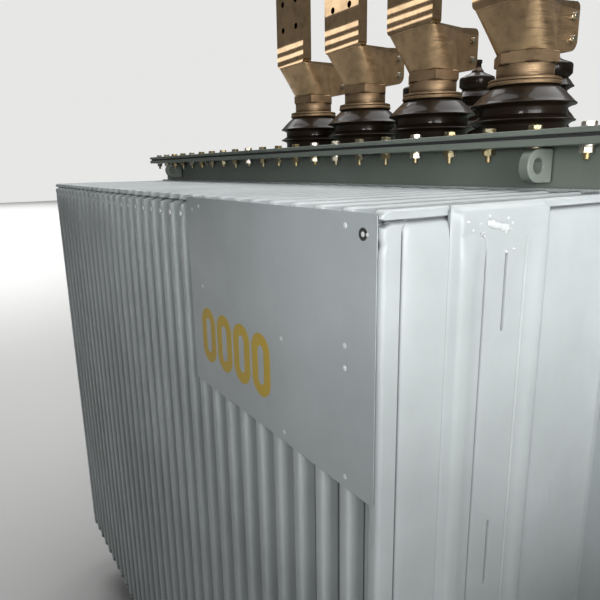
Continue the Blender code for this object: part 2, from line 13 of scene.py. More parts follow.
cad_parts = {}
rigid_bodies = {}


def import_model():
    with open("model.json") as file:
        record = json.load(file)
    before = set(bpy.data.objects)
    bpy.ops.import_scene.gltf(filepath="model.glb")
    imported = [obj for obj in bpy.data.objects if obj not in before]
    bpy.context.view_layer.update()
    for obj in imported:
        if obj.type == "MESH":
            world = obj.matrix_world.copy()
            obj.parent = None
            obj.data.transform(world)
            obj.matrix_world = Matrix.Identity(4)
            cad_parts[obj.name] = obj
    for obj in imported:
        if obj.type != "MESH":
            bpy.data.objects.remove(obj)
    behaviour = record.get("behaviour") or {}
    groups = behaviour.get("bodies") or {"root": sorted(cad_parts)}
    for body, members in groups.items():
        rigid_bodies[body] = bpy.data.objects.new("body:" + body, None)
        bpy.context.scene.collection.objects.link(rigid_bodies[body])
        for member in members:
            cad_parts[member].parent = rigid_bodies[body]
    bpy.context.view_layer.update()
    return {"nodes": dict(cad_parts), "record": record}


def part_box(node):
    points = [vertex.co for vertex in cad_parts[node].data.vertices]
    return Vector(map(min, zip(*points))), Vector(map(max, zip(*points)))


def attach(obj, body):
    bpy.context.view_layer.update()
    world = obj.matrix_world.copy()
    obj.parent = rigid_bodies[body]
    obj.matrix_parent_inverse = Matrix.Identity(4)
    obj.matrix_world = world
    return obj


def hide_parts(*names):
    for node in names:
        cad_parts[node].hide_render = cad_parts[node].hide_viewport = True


# Camera
CAMERA_PLACE = (1.194, -1.09, 1.4695)
CAMERA_LENS = 33.24  # millimetres on a 36 mm sensor
CAMERA_HEADING = 57.16  # degrees from +Y towards -X
CAMERA_TILT = 76.5  # degrees up from looking straight down
CAMERA_ROLL = -1.0

# Corrugated fins
FIN_PITCH = 0.050
FOLD_STRIP = 0.024  # flat strip behind the outer fold
FIN_HALF = 0.0110  # half thickness over the bulged channel
FOLD_HALF = 0.0092  # half thickness over the folded strip
NOSE_ROUND = 0.0055  # corner radius of the folded nose
SEAM_HALF = 0.0076  # half thickness where the end is pressed shut
SEAM = 0.0115  # height of the pressed seam
SEAM_LINE = (0.0040, 0.0004, 0.0026)  # line under the seam: depth, distance below it, half width
END_SWELL = (0.0016, 0.0025, 0.003)  # welded edge: rise, distance from the end, half width
OPENING = 0.006  # run below the seam over which the fin opens
SWELL = 0.024  # run over which the sheet bulges out
CREASE = 0.0044  # depth of the crease round the bulge
CREASE_RUN = 0.0012  # run over which the strip drops into the crease
CREASE_FLOOR = 0.0030  # width of the crease before the bulge rises
POCKET_ROUND = 0.014  # corner radius of the bulge
FIN_CORNER = 0.009  # corner radius of the fin itself
ROOT_ROUND = 0.006  # fillet where the fin leaves the wall
NOTCH = 0.0090  # depth of the notch in the nose under the seam
NOTCH_BELOW = 0.0015  # seam to the notch's middle
NOTCH_HALF = 0.0045  # half the notch's width
NOSE_SPOT = 0.0330  # top of the fins to the spot weld on each nose
NOSE_DENT = 0.0018  # depth of the dent the spot weld sits in
NOSE_DENT_HALF = 0.0075
FIN_PLATE = 0.010  # thickness of the plate that carries the fins
LONG_FINS = 33
SHORT_FINS = 12

# A fin's mesh points: out from the wall, from the crease inwards and outwards, from the fin's ends
ROOT_POINTS = (0, 0.002, 0.006)
BULGE_POINTS = (0.050, 0.034, 0.024, 0.018, 0.013, 0.009, 0.0068, 0.0052, 0.0042, 0.0035, 0.0030, 0.0015)
STRIP_POINTS = (0, 0.0006, 0.0012, 0.0018, 0.004, 0.008)
NOSE_STEPS = 5
FOOT_LEVELS = (0, 0.0022, 0.006, 0.0085, 0.0106, 0.0124, 0.0146, 0.0172, 0.022, 0.028, 0.033, 0.038, 0.05)
TOP_LEVELS = (0, 0.001, 0.0022, 0.0035, 0.006, 0.0085, 0.0096, 0.0106, 0.0115, 0.0124, 0.0134, 0.0146,
              0.0158, 0.0172, 0.022, 0.0255, 0.028, 0.0305, 0.033, 0.0355, 0.038, 0.0405, 0.05)

# Pressed stiffeners
RIDGE_WIDTH = 0.044
RIDGE_RISE = 0.0030
RIDGE_TOP_DROP = 0.032  # end of the stiffener to the end of its ridges
RIDGE_ROUND = 0.012
RIDGE_END_RUN = 0.020  # run over which a ridge rises at its end
RIDGE_CREST = 0.45  # share of the ridge's width from its outer edge to its crest
RIDGE_GROOVE = 0.0030  # depth of the groove between the ridge and the web
REAR_GROOVE_SHARE = 0.28  # share of that depth beside the ridge towards +Y
GROOVE_END_SHARE = 0.3  # share of it that is left at the ridge's end
GROOVE_END_RUN = 0.03
GROOVE_HALF = 0.0020  # half the groove's width
GROOVE_WALL = 0.0012  # run of the groove's side
STIFFENER_ROUND = 0.010  # corner radius of the sheet
STIFFENER_EDGE = 0.009  # run over which the sheet rises from its rim
STIFFENER_GAP = 0.0003  # the solids' clearance from the fin
STIFFENER_FOOT = 0.0036  # fills the gap over the fin's pressed end
BEADS = 4  # short slots pressed into the web
BEAD_HALF_WIDTH = 0.0028
BEAD_WALL = 0.0013  # run of the slot's side
BEAD_LENGTH = 0.090
BEAD_PITCH = 0.328
BEAD_DROP = 0.096  # top of the stiffener to the middle of the first slot
BEAD_DEPTH = 0.0036

# Weld spatter on a stiffener's upper end, by place along Y and distance below the top
WELD_ROW = (-0.031, 0.0205)
WELD_ROW_STEP = (0.0044, 0.0010)
WELD_ROW_RADII = (0.0030, 0.0052)
SPATTER_ALONG = (-0.045, 0.010)
SPATTER_BELOW = (0.012, 0.034)
SPATTER_RADII = (0.0008, 0.0020)
SINGLE_LUMPS = ((-0.0560, 0.026, 0.0016), (-0.0645, 0.017, 0.0019),
                (0.0110, BEAD_DROP - 0.046, 0.0020), (-0.0015, BEAD_DROP - 0.044, 0.0020))

# Cover bolts
BOLT_SPACING = 0.0775
BOLT_INSET = 0.026  # edge of the cover to the bolt's axis
BOLT_HEAD_FLATS = 0.0165
BOLT_HEAD = 0.0055
WASHER_RADIUS = 0.0105
WASHER = 0.0018
NUT = 0.0085
SHANK_RADIUS = 0.0042
SHANK_BELOW = 0.019
COLLAR_FLANGE = 0.010  # thickness of the flange under the cover
BRIGHT_SHARE = 0.34  # share of the bolts in brighter plating

SIDEWAYS = Matrix.Rotation(pi / 2, 4, "X")  # turns +Z to -Y


def new_mesh(name, points, faces):
    mesh = bpy.data.meshes.new(name)
    mesh.from_pydata(points, [], faces)
    return mesh


def new_object(name, data):
    item = bpy.data.objects.new(name, data)
    bpy.context.scene.collection.objects.link(item)
    return item


def mounted(name, mesh, look, sharp):
    """Put a mesh on the transformer, smooth but for the edges sharper than an angle in degrees."""
    mesh.materials.append(look)
    mesh.shade_smooth()
    mesh.set_sharp_from_angle(angle=radians(sharp))
    item = new_object(name, mesh)
    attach(item, "root")
    return item


class Shape:
    """Vertices and faces gathered from several solids before they become one mesh."""

    def __init__(self):
        self.points = []
        self.faces = []

    def add(self, points, faces, place=None):
        start = len(self.points)
        for point in points:
            self.points.append(tuple(place @ Vector(point)) if place else tuple(point))
        flipped = place is not None and place.determinant() < 0
        for face in faces:
            corners = [start + i for i in face]
            self.faces.append(corners[::-1] if flipped else corners)
        return self

    def piece(self, name, finish, slot, sharp=40, look=None):
        """Make the gathered solids into an object whose finish is the slot's own or another look."""
        mesh = new_mesh(name, self.points, self.faces)
        mesh.validate()
        return mounted(name, mesh, finish[look or slot], sharp)


def skin(rings, closed=True, caps=True):
    """Return the points and faces of a loft through rings of equal length."""
    count = len(rings[0])
    points = [point for ring in rings for point in ring]
    faces = []
    last = count if closed else count - 1
    for r in range(len(rings) - 1):
        for i in range(last):
            j = (i + 1) % count
            a, b = r * count, (r + 1) * count
            faces.append([a + i, a + j, b + j, b + i])
    if caps:
        faces.append(list(range(count))[::-1])
        faces.append([len(points) - count + i for i in range(count)])
    return points, faces


def angles(count, shift=0):
    """Return evenly spaced angles once round the circle."""
    return [2 * pi * (k + shift) / count for k in range(count)]


def turned(profile, sides):
    """Return a solid turned about Z from (radius, height) points, read from the bottom up."""
    return skin([[(radius * cos(a), radius * sin(a), height) for a in angles(sides)]
                 for radius, height in profile])


def hexagon(flats, height, low=0, chamfer=0.0012):
    """Return a hexagonal head or nut with its corners chamfered by a cone."""
    corner = flats / sqrt(3)
    rings = []
    for z, limit in ((low, corner - chamfer), (low + chamfer * 0.6, corner),
                     (low + height - chamfer * 0.6, corner), (low + height, corner - chamfer)):
        points = []
        for a in angles(24):
            off = (a + pi / 6) % (pi / 3) - pi / 6
            reach = min(flats / 2 / cos(off), limit)
            points.append((reach * cos(a), reach * sin(a), z))
        rings.append(points)
    return skin(rings)


def rounded(low, high, radius, steps):
    """Return an oblong's outline, counterclockwise from its low corner, with each corner an arc."""
    points = []
    for k, (right, upper) in enumerate(((0, 0), (1, 0), (1, 1), (0, 1))):
        x = high[0] - radius if right else low[0] + radius
        y = high[1] - radius if upper else low[1] + radius
        for s in range(steps + 1):
            a = pi + pi / 2 * (k + s / steps)
            points.append((x + radius * cos(a), y + radius * sin(a)))
    return points


def slab(outline, low, high, edge):
    """Return a plate from an outline, with its upper and lower edges eased."""
    inward = []
    for k in range(len(outline)):
        along = (Vector(outline[(k + 1) % len(outline)]) - Vector(outline[k - 1])).normalized()
        inward.append(Vector((-along.y, along.x)))
    levels = ((low, edge), (low + edge, 0), (high - edge, 0), (high, edge))
    return skin([[(*(Vector(here) + way * by), z) for here, way in zip(outline, inward)] for z, by in levels])


def clamped(u):
    return max(0.0, min(1.0, u))


def ease(u):
    """Rise from 0 to 1 as a quarter circle does."""
    return sqrt(1 - (1 - clamped(u)) ** 2)


def smooth(u):
    """Rise from 0 to 1 with level ends."""
    u = clamped(u)
    return u * u * (3 - 2 * u)


def dip(u):
    """Rise from 0 to 1 and back as u goes from -1 to 1."""
    return max(0.0, 1 - u * u) ** 2


def inside_corner(x, y, radius):
    """Return how far a point lies inside two walls that meet in a rounded corner."""
    if x >= radius or y >= radius:
        return min(x, y)
    return radius - hypot(radius - x, radius - y)


# Materials

def new_material(name, colour, roughness, metallic=0.0):
    made = bpy.data.materials.new(name)
    made.use_nodes = True
    shader = made.node_tree.nodes["Principled BSDF"]
    shader.inputs["Base Color"].default_value = (*colour, 1)
    shader.inputs["Roughness"].default_value = roughness
    shader.inputs["Metallic"].default_value = metallic
    return made, shader


def set_gloss(shader, specular, coat, coat_roughness):
    shader.inputs["Specular IOR Level"].default_value = specular
    shader.inputs["Coat Weight"].default_value = coat
    shader.inputs["Coat Roughness"].default_value = coat_roughness


def feed(shader, name, output):
    shader.id_data.links.new(output, shader.inputs[name])


def add_node(made, kind, **values):
    """Add a node; a value is a number, a colour or the output to link."""
    node = made.node_tree.nodes.new(kind)
    for key, value in values.items():
        name = key.replace("_", " ")
        if name in node.inputs:
            if isinstance(value, bpy.types.NodeSocket):
                feed(node, name, value)
            else:
                node.inputs[name].default_value = value
        else:
            setattr(node, key, value)
    return node


def noise(made, scale, detail=4.0, stretch=(1, 1, 1), roughness=0.55):
    """Return a noise value that is fixed to the object's own metres."""
    where = add_node(made, "ShaderNodeTexCoord").outputs["Object"]
    mapping = add_node(made, "ShaderNodeMapping", Vector=where, Scale=stretch)
    node = add_node(made, "ShaderNodeTexNoise", Vector=mapping.outputs["Vector"],
                    Scale=scale, Detail=detail, Roughness=roughness)
    return node.outputs["Fac"]


def mapped(made, value, low, high, to_low=0.0, to_high=1.0):
    """Return a value moved from one range to another and kept within it."""
    node = add_node(made, "ShaderNodeMapRange", Value=value)
    for key, number in (("From Min", low), ("From Max", high), ("To Min", to_low), ("To Max", to_high)):
        node.inputs[key].default_value = number
    return node.outputs["Result"]


def mixed(made, share, first, second, blend="MIX"):
    """Return a colour mixed from two, which can be outputs, as the share of the second can."""
    node = made.node_tree.nodes.new("ShaderNodeMix")
    node.data_type = "RGBA"
    node.blend_type = blend
    sockets = [node.inputs["Factor"]] + [s for s in node.inputs if s.type == "RGBA"]
    for socket, value in zip(sockets, (share, first, second)):
        if isinstance(value, bpy.types.NodeSocket):
            made.node_tree.links.new(value, socket)
        else:
            socket.default_value = (*value, 1) if isinstance(value, tuple) else value
    return next(s for s in node.outputs if s.type == "RGBA")


def bumped(made, shader, value, strength, distance):
    bump = add_node(made, "ShaderNodeBump", Height=value, Strength=strength, Distance=distance)
    feed(shader, "Normal", bump.outputs["Normal"])
    return bump


def crevice_shade(made, colour, reach, least):
    """Return a colour darkened in seams and narrow corners by painted shade, taken from ambient occlusion."""
    hollow = add_node(made, "ShaderNodeAmbientOcclusion", samples=8, Distance=reach).outputs["AO"]
    shade = mapped(made, hollow, 0.30, 0.85, least, 1.0)
    return mixed(made, 1.0, colour, shade, "MULTIPLY")


def paint(name, colour, roughness=0.36, dust=0.25):
    """Sprayed machine paint: faint orange peel, soft blotches, dust, and painted shade darkening the corners.
    """
    made, shader = new_material(name, colour, roughness)
    set_gloss(shader, specular=0.26, coat=0.22, coat_roughness=0.16)
    pale = tuple(min(1, c * 1.10 + 0.01) for c in colour)
    deep = tuple(c * 0.86 for c in colour)
    blotch = mapped(made, noise(made, 3.2, 5), 0.35, 0.68)
    base = mixed(made, blotch, deep, pale)
    dirt = mapped(made, noise(made, 26, 8, (1, 1, 0.25), 0.7), 0.56, 0.80, 0, dust)
    grime = tuple(c * 0.62 + 0.02 for c in colour)
    dirty = mixed(made, dirt, base, grime)
    # painted shade: corners, creases and grooves darkened by ambient occlusion
    feed(shader, "Base Color", crevice_shade(made, dirty, 0.007, 0.25))
    gloss = mapped(made, noise(made, 9, 6), 0.3, 0.7, roughness * 0.82, roughness * 1.25)
    feed(shader, "Roughness", gloss)
    bumped(made, shader, noise(made, ORANGE_PEEL, 2), 0.10, 0.0006)
    return made


def casting(name, colour, roughness=0.42):
    """Cast bronze: stains, painted shade in its hollows and fine cutter lines, milled nearly smooth above the
    palms' foot.
    """
    made, shader = new_material(name, colour, roughness, 1.0)
    stain = mapped(made, noise(made, 38, 7), 0.42, 0.72)
    dark = tuple(c * 0.66 for c in colour)
    # painted shade: holes, hollows and inner corners darkened by ambient occlusion
    feed(shader, "Base Color", crevice_shade(made, mixed(made, stain, colour, dark), 0.018, 0.06))
    lines = noise(made, 160, 3, (0.15, 0.15, 6))
    gloss = mapped(made, lines, 0.3, 0.7, roughness * 0.7, roughness * 1.4)
    where = add_node(made, "ShaderNodeTexCoord").outputs["Object"]
    level = add_node(made, "ShaderNodeSeparateXYZ", Vector=where).outputs["Z"]
    dullness = mapped(made, level, PALM_FOOT - 0.001, PALM_FOOT, 1.0, 0.05)
    product = add_node(made, "ShaderNodeMath", operation="MULTIPLY")
    feed(product, 0, gloss)
    feed(product, 1, dullness)
    feed(shader, "Roughness", product.outputs[0])
    bump = bumped(made, shader, lines, 0.18, 0.0004)
    feed(bump, "Strength", mapped(made, level, PALM_FOOT - 0.001, PALM_FOOT, 0.18, 0.002))
    return made


def glaze(name, colour):
    """Brown glazed porcelain: clear coat over a dark body with a few warmer clouds."""
    made, shader = new_material(name, colour, 0.32)
    set_gloss(shader, specular=0.12, coat=0.20, coat_roughness=0.05)
    pool = mapped(made, noise(made, 14, 4), 0.35, 0.7)
    warm = tuple(c * 1.7 for c in colour)
    feed(shader, "Base Color", mixed(made, pool, colour, warm))
    bumped(made, shader, noise(made, 60, 3), 0.08, 0.0008)
    return made


def plating(name, colour, tint, roughness):
    """Passivated zinc on fasteners: two tones and fine scratches."""
    made, shader = new_material(name, colour, roughness, 1.0)
    tone = mapped(made, noise(made, 30, 4), 0.35, 0.65)
    feed(shader, "Base Color", mixed(made, tone, colour, tint))
    scratch = noise(made, 300, 4)
    gloss = mapped(made, scratch, 0.3, 0.7, roughness * 0.7, roughness * 1.3)
    feed(shader, "Roughness", gloss)
    bumped(made, shader, scratch, 0.1, 0.0002)
    return made


def plain(name, colour, roughness):
    return new_material(name, colour, roughness)[0]


def rubber(name):
    made, shader = new_material(name, (0.035, 0.036, 0.036), 0.75)
    bumped(made, shader, noise(made, 500, 3), 0.2, 0.0004)
    return made


def stencil(name, colour, under):
    """Stencilled paint that has worn through in small specks."""
    made, shader = new_material(name, colour, 0.45)
    worn = mapped(made, noise(made, 140, 6, roughness=0.7), 0.66, 0.74)
    feed(shader, "Base Color", mixed(made, worn, colour, under))
    bumped(made, shader, noise(made, ORANGE_PEEL, 2), 0.08, 0.0004)
    return made


PALM_FOOT = 1.722  # height above which the palms are milled smooth
ORANGE_PEEL = 420  # scale of the paint's fine grain
TANK_COLOUR = (0.50, 0.54, 0.545)
FRAME_COLOUR = (0.19, 0.22, 0.19)
PANEL_COLOUR = (0.46, 0.505, 0.515)


def build_materials():
    rows = {
        "tank_paint": (paint, TANK_COLOUR),
        "frame_paint": (paint, FRAME_COLOUR, 0.40, 0.35),
        "panel_paint": (paint, PANEL_COLOUR, 0.34, 0.15),
        "gasket_rubber": (rubber,),
        "brown_porcelain": (glaze, (0.012, 0.0075, 0.0045)),
        "bronze": (casting, (0.66, 0.455, 0.265)),
        "ring_bronze": (casting, (0.36, 0.25, 0.15), 0.55),
        "dark_bronze": (casting, (0.10, 0.075, 0.055)),
        # near-white colour standing in for glints: a painted highlight on the nose spot welds, rivets and screw
        "painted_highlight": (plain, (0.82, 0.84, 0.83), 0.22),
        # paint on the weld lumps, paler than the tank's: partly a painted highlight
        "weld_paint_and_highlight": (plain, (0.60, 0.63, 0.63), 0.14),
        "zinc": (plating, (0.60, 0.58, 0.52), (0.52, 0.46, 0.32), 0.34),
        "dull_zinc": (plating, (0.26, 0.24, 0.17), (0.34, 0.26, 0.11), 0.46),
        "stencil": (stencil, (0.62, 0.42, 0.03), PANEL_COLOUR),
    }
    return {name: make(name + "_finish", *values) for name, (make, *values) in rows.items()}


# Fins

def fin_half(out, from_end, depth):
    """Return half the fin's thickness at a distance out from the wall and from its nearer end."""
    opened = ease((from_end - SEAM) / OPENING)
    half = SEAM_HALF + (FOLD_HALF - SEAM_HALF) * opened
    bulge = inside_corner(depth - FOLD_STRIP - out, from_end - SEAM, POCKET_ROUND)
    half -= CREASE * opened * clamped(1 + bulge / CREASE_RUN)
    half += (FIN_HALF - half) * ease((bulge - CREASE_FLOOR) / SWELL)
    line, below, line_half = SEAM_LINE
    half -= line * dip((from_end - SEAM - below) / line_half)
    if from_end < SEAM / 2:
        rise, below, rise_half = END_SWELL
        half += rise * dip((from_end - below) / rise_half)
    if out < ROOT_ROUND:
        half += ROOT_ROUND * (1 - ease(out / ROOT_ROUND))
    return half


def nose_draw(from_end):
    """Return how far the nose is drawn back: at the rounded corner, in the notch and in the dent."""
    corner = FIN_CORNER * (1 - ease(from_end / FIN_CORNER))
    dent = NOSE_DENT * dip((from_end - NOSE_SPOT) / NOSE_DENT_HALF)
    return corner + dent + NOTCH * dip((from_end - SEAM - NOTCH_BELOW) / NOTCH_HALF)


def fin_flank(from_end, depth):
    """Return (half thickness, distance from the wall) from root to nose at one height."""
    crease = depth - FOLD_STRIP
    outs = [*ROOT_POINTS, depth / 2]
    outs += [crease - d for d in BULGE_POINTS] + [crease + d for d in STRIP_POINTS]
    draw = nose_draw(from_end)
    flank = [(fin_half(out, from_end, depth), out) for out in outs]
    nose = fin_half(depth - FOLD_HALF, from_end, depth)
    bend = min(NOSE_ROUND, nose)
    for k in range(NOSE_STEPS + 1):
        a = pi / 2 * k / NOSE_STEPS
        flank.append((nose - bend + bend * cos(a), depth - draw - bend + bend * sin(a)))
    return flank


def fin_levels(height):
    """Return heights above the foot of the fins, close together at the pressed ends."""
    middle = [height * k / 4 for k in range(1, 4)]
    return [*FOOT_LEVELS, *middle, *(height - below for below in reversed(TOP_LEVELS))]


def fin_centres(count):
    return [(k - (count - 1) / 2) * FIN_PITCH for k in range(count)]


def fin_wall(count, length, depth, height):
    """Return one corrugated wall: plate face on y = 0, fins towards -Y, foot on z = 0."""
    shape = Shape()
    rings = []
    for level in fin_levels(height):
        from_end = min(level, height - level)
        flank = fin_flank(from_end, depth)
        nose = depth - nose_draw(from_end)
        ring_points = [(-length / 2, 0.0)]
        for centre in fin_centres(count):
            ring_points += [(centre - half, out) for half, out in flank]
            ring_points.append((centre, nose))
            ring_points += [(centre + half, out) for half, out in reversed(flank)]
        ring_points.append((length / 2, 0.0))
        rings.append([(x, -out, level) for x, out in ring_points])
    shape.add(*skin(rings, closed=False, caps=False))
    per_fin = 2 * len(flank) + 1
    for base, order in ((0, 1), ((len(rings) - 1) * len(rings[0]), -1)):
        for k in range(count):
            first = base + 1 + k * per_fin
            last = first + per_fin - 1
            for i in range(len(flank) - 1):
                face = [first + i, first + i + 1, last - i - 1, last - i]
                shape.faces.append(face[::order])
            tip = first + len(flank)
            shape.faces.append([tip - 1, tip, tip + 1][::order])
    half, front = length / 2, -0.0002
    plate = [(-half, front), (half, front), (half, FIN_PLATE), (-half, FIN_PLATE)]
    shape.add(*skin([[(x, y, z) for x, y in plate] for z in (0, height)]))
    return shape


def build_fins(finish):
    """Replace the four plain fin walls with pressed and welded ones."""
    low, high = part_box("front_fin_wall")
    height = high.z - low.z
    depth = high.y - FIN_PLATE - low.y
    long_wall = fin_wall(LONG_FINS, high.x - low.x, depth, height)
    side_low, side_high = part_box("right_fin_wall")
    side_depth = side_high.x - side_low.x - FIN_PLATE
    short_wall = fin_wall(SHORT_FINS, side_high.y - side_low.y, side_depth, height)
    wall_y, wall_x = high.y - FIN_PLATE, side_low.x + FIN_PLATE
    for name, wall, spot, turn in (
            ("front", long_wall, (0, wall_y), 0), ("back", long_wall, (0, -wall_y), 180),
            ("right", short_wall, (wall_x, 0), 90), ("left", short_wall, (-wall_x, 0), -90)):
        place = Matrix.Translation((*spot, low.z)) @ Matrix.Rotation(radians(turn), 4, "Z")
        moved = Shape().add(wall.points, wall.faces, place)
        item = moved.piece(name + "_fins", finish, "tank_paint")
        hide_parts(name + "_fin_wall")
        build_nose_spots(name, place, height, depth if wall is long_wall else side_depth, finish)


def build_nose_spots(name, place, height, depth, finish):
    """Set the spot weld in the dent on each fin's nose, its pale colour a painted highlight, but not behind the
    number panel.
    """
    count = LONG_FINS if name in ("front", "back") else SHORT_FINS
    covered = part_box("number_panel")[0].x - 0.01 if name == "front" else inf
    spots = Shape()
    button = [(0.0050, -0.002), (0.0050, NOSE_DENT * 0.5), (0.0044, NOSE_DENT * 0.85), (0.0032, NOSE_DENT)]
    for centre in fin_centres(count):
        if centre < covered:
            spot = Matrix.Translation((centre, NOSE_DENT - depth, height - NOSE_SPOT)) @ SIDEWAYS
            spots.add(*turned(button, 16), place @ spot)
    # the spot welds' pale colour is a painted highlight
    spots.piece(name + "_fin_spots", finish, "tank_paint", 60, "painted_highlight")


# Stiffeners

def stiffener_height(along, from_end, from_bead, half, proud):
    """Return how far the pressed stiffener stands off the fin at one point."""
    rim = inside_corner(half - abs(along), from_end, STIFFENER_ROUND)
    high = (proud - RIDGE_RISE) * smooth(rim / STIFFENER_EDGE)
    inner = abs(along) - (half - RIDGE_WIDTH)
    ridge_edge = inside_corner(inner, from_end - RIDGE_TOP_DROP, RIDGE_ROUND)
    body = clamped(ridge_edge / RIDGE_END_RUN)
    from_crest = abs(along) - half + RIDGE_WIDTH * RIDGE_CREST
    high += RIDGE_RISE * body * dip(from_crest / (RIDGE_WIDTH * (1 - RIDGE_CREST)))
    if rim > STIFFENER_EDGE:
        side = max(GROOVE_END_SHARE, clamped((from_end - RIDGE_TOP_DROP) / GROOVE_END_RUN))
        side *= 1 if along < 0 else REAR_GROOVE_SHARE
        high -= side * RIDGE_GROOVE * smooth((GROOVE_HALF - abs(ridge_edge + GROOVE_HALF)) / GROOVE_WALL)
    reach = max(0.0, abs(from_bead) - (BEAD_LENGTH / 2 - BEAD_HALF_WIDTH))
    high -= BEAD_DEPTH * smooth((BEAD_HALF_WIDTH - hypot(along, reach)) / BEAD_WALL)
    return high


def close_to(places, low, high, reach, step):
    """Return sorted values from low to high, a step apart near the places and six elsewhere."""
    values = {low, high}
    count = int((high - low) / (step * 6)) + 1
    values.update(low + (high - low) * k / count for k in range(count))
    for place in places:
        fine = int(2 * reach / step)
        values.update(place - reach + k * step for k in range(fine + 1))
    kept = []
    for value in sorted(v for v in values if low <= v <= high):
        if not kept or value - kept[-1] > step * 0.4:
            kept.append(value)
    kept[-1] = high
    return kept


def stiffener(height, half, proud):
    """Return one stiffener as a pressed sheet: back on x = 0, its length along Z."""
    groove = half - RIDGE_WIDTH
    columns = close_to((-half, -groove, 0, groove, half), -half, half, reach=0.0065, step=0.0006)
    beads = [height - BEAD_DROP - k * BEAD_PITCH for k in range(BEADS)]
    ends = [bead + side * (BEAD_LENGTH / 2 - 0.003) for bead in beads for side in (-1, 1)]
    ends += [0, height, height - RIDGE_TOP_DROP, RIDGE_TOP_DROP]
    levels = close_to(ends, 0, height, reach=0.0060, step=0.0016)
    rings = []
    for z in levels:
        from_end = min(z, height - z)
        drop = height - z - BEAD_DROP
        from_bead = (drop + BEAD_PITCH / 2) % BEAD_PITCH - BEAD_PITCH / 2
        if z < BEAD_LENGTH:
            from_bead = BEAD_LENGTH
        row = [(stiffener_height(y, from_end, from_bead, half, proud), y, z) for y in columns]
        back = -STIFFENER_FOOT if from_end < FIN_CORNER + SEAM else -0.0005
        rings.append([(back, -half, z)] + row + [(back, half, z)])
    return skin(rings)


def build_stiffeners(finish):
    for side in ("left", "right"):
        for face in ("front", "back"):
            node = f"stiffener_{face}_{side}"
            low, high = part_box(node)
            proud = high.x - low.x + STIFFENER_GAP
            flip = 1 if side == "right" else -1
            foot = low.x - STIFFENER_GAP if flip > 0 else high.x + STIFFENER_GAP
            place = Matrix.Translation((foot, (low.y + high.y) / 2, low.z)) @ Matrix.Diagonal((flip, 1, 1, 1))
            sheet = Shape().add(*stiffener(high.z - low.z, (high.y - low.y) / 2, proud), place)
            item = sheet.piece(node + "_pressing", finish, "tank_paint")
            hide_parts(node)
            lumps = Shape().add(*lump_field(high.z - low.z, proud, len(node) + (face == "back")), place)
            # weld lumps in paint paler than the tank's, partly a painted highlight
            lumps.piece(node + "_welds", finish, "tank_paint", 60, "weld_paint_and_highlight")


def lump_field(height, proud, seed):
    """Return the weld lumps on a stiffener's flat upper end: a row, loose spatter and four alone."""
    chance = random.Random(seed)
    shape = Shape()
    spots = [(WELD_ROW[0] + WELD_ROW_STEP[0] * k, WELD_ROW[1] + WELD_ROW_STEP[1] * k,
              chance.uniform(*WELD_ROW_RADII)) for k in range(7)]
    spots += [(chance.uniform(*SPATTER_ALONG), chance.uniform(*SPATTER_BELOW), chance.uniform(*SPATTER_RADII))
              for _ in range(14)]
    face = proud - RIDGE_RISE
    for y, below, radius in [*spots, *SINGLE_LUMPS]:
        z = height - below
        rings = []
        for share in (0.0, 0.45, 0.8, 0.95):
            wide = radius * sqrt(1 - share * share)
            points = []
            for a in angles(12):
                reach = wide * chance.uniform(0.86, 1.12)
                points.append((face + share * min(radius * 0.8, RIDGE_RISE) - 0.0003 * (share == 0),
                               y + reach * cos(a) * 1.25, z + reach * sin(a)))
            rings.append(points)
        shape.add(*skin(rings))
    return shape.points, shape.faces


# Number panel

RIVET_PLACES = ((0.0486, 0.014), (0.049, 0.140), (0.049, 0.165), (0.179, 0.1655), (0.419, 0.139),
                (0.444, 0.019), (0.418, 0.013), (0.177, 0.292), (0.048, 0.2925))
RIVET = ((0.0032, 0), (0.0031, 0.3), (0.0026, 0.6), (0.0017, 0.85), (0.0008, 0.97), (0.0002, 1))
SCREW_WASHER = ((0.0064, 0), (0.0064, 0.4), (0.0060, 0.5))
SCREW_FROM_CORNER = 0.0206
PANEL_SHEET = 0.0010
PANEL_ROUND = 0.004
RIVET_RISE = 0.0005  # the heights in RIVET and SCREW_WASHER are shares of this
DIGITS = 4
DIGIT_HEIGHT = 0.090
DIGIT_WIDTH = 0.050
DIGIT_STROKE = 0.017
DIGIT_PITCH = 0.0565
DIGITS_FROM_LEFT = 0.036
DIGITS_BELOW_TOP = 0.172


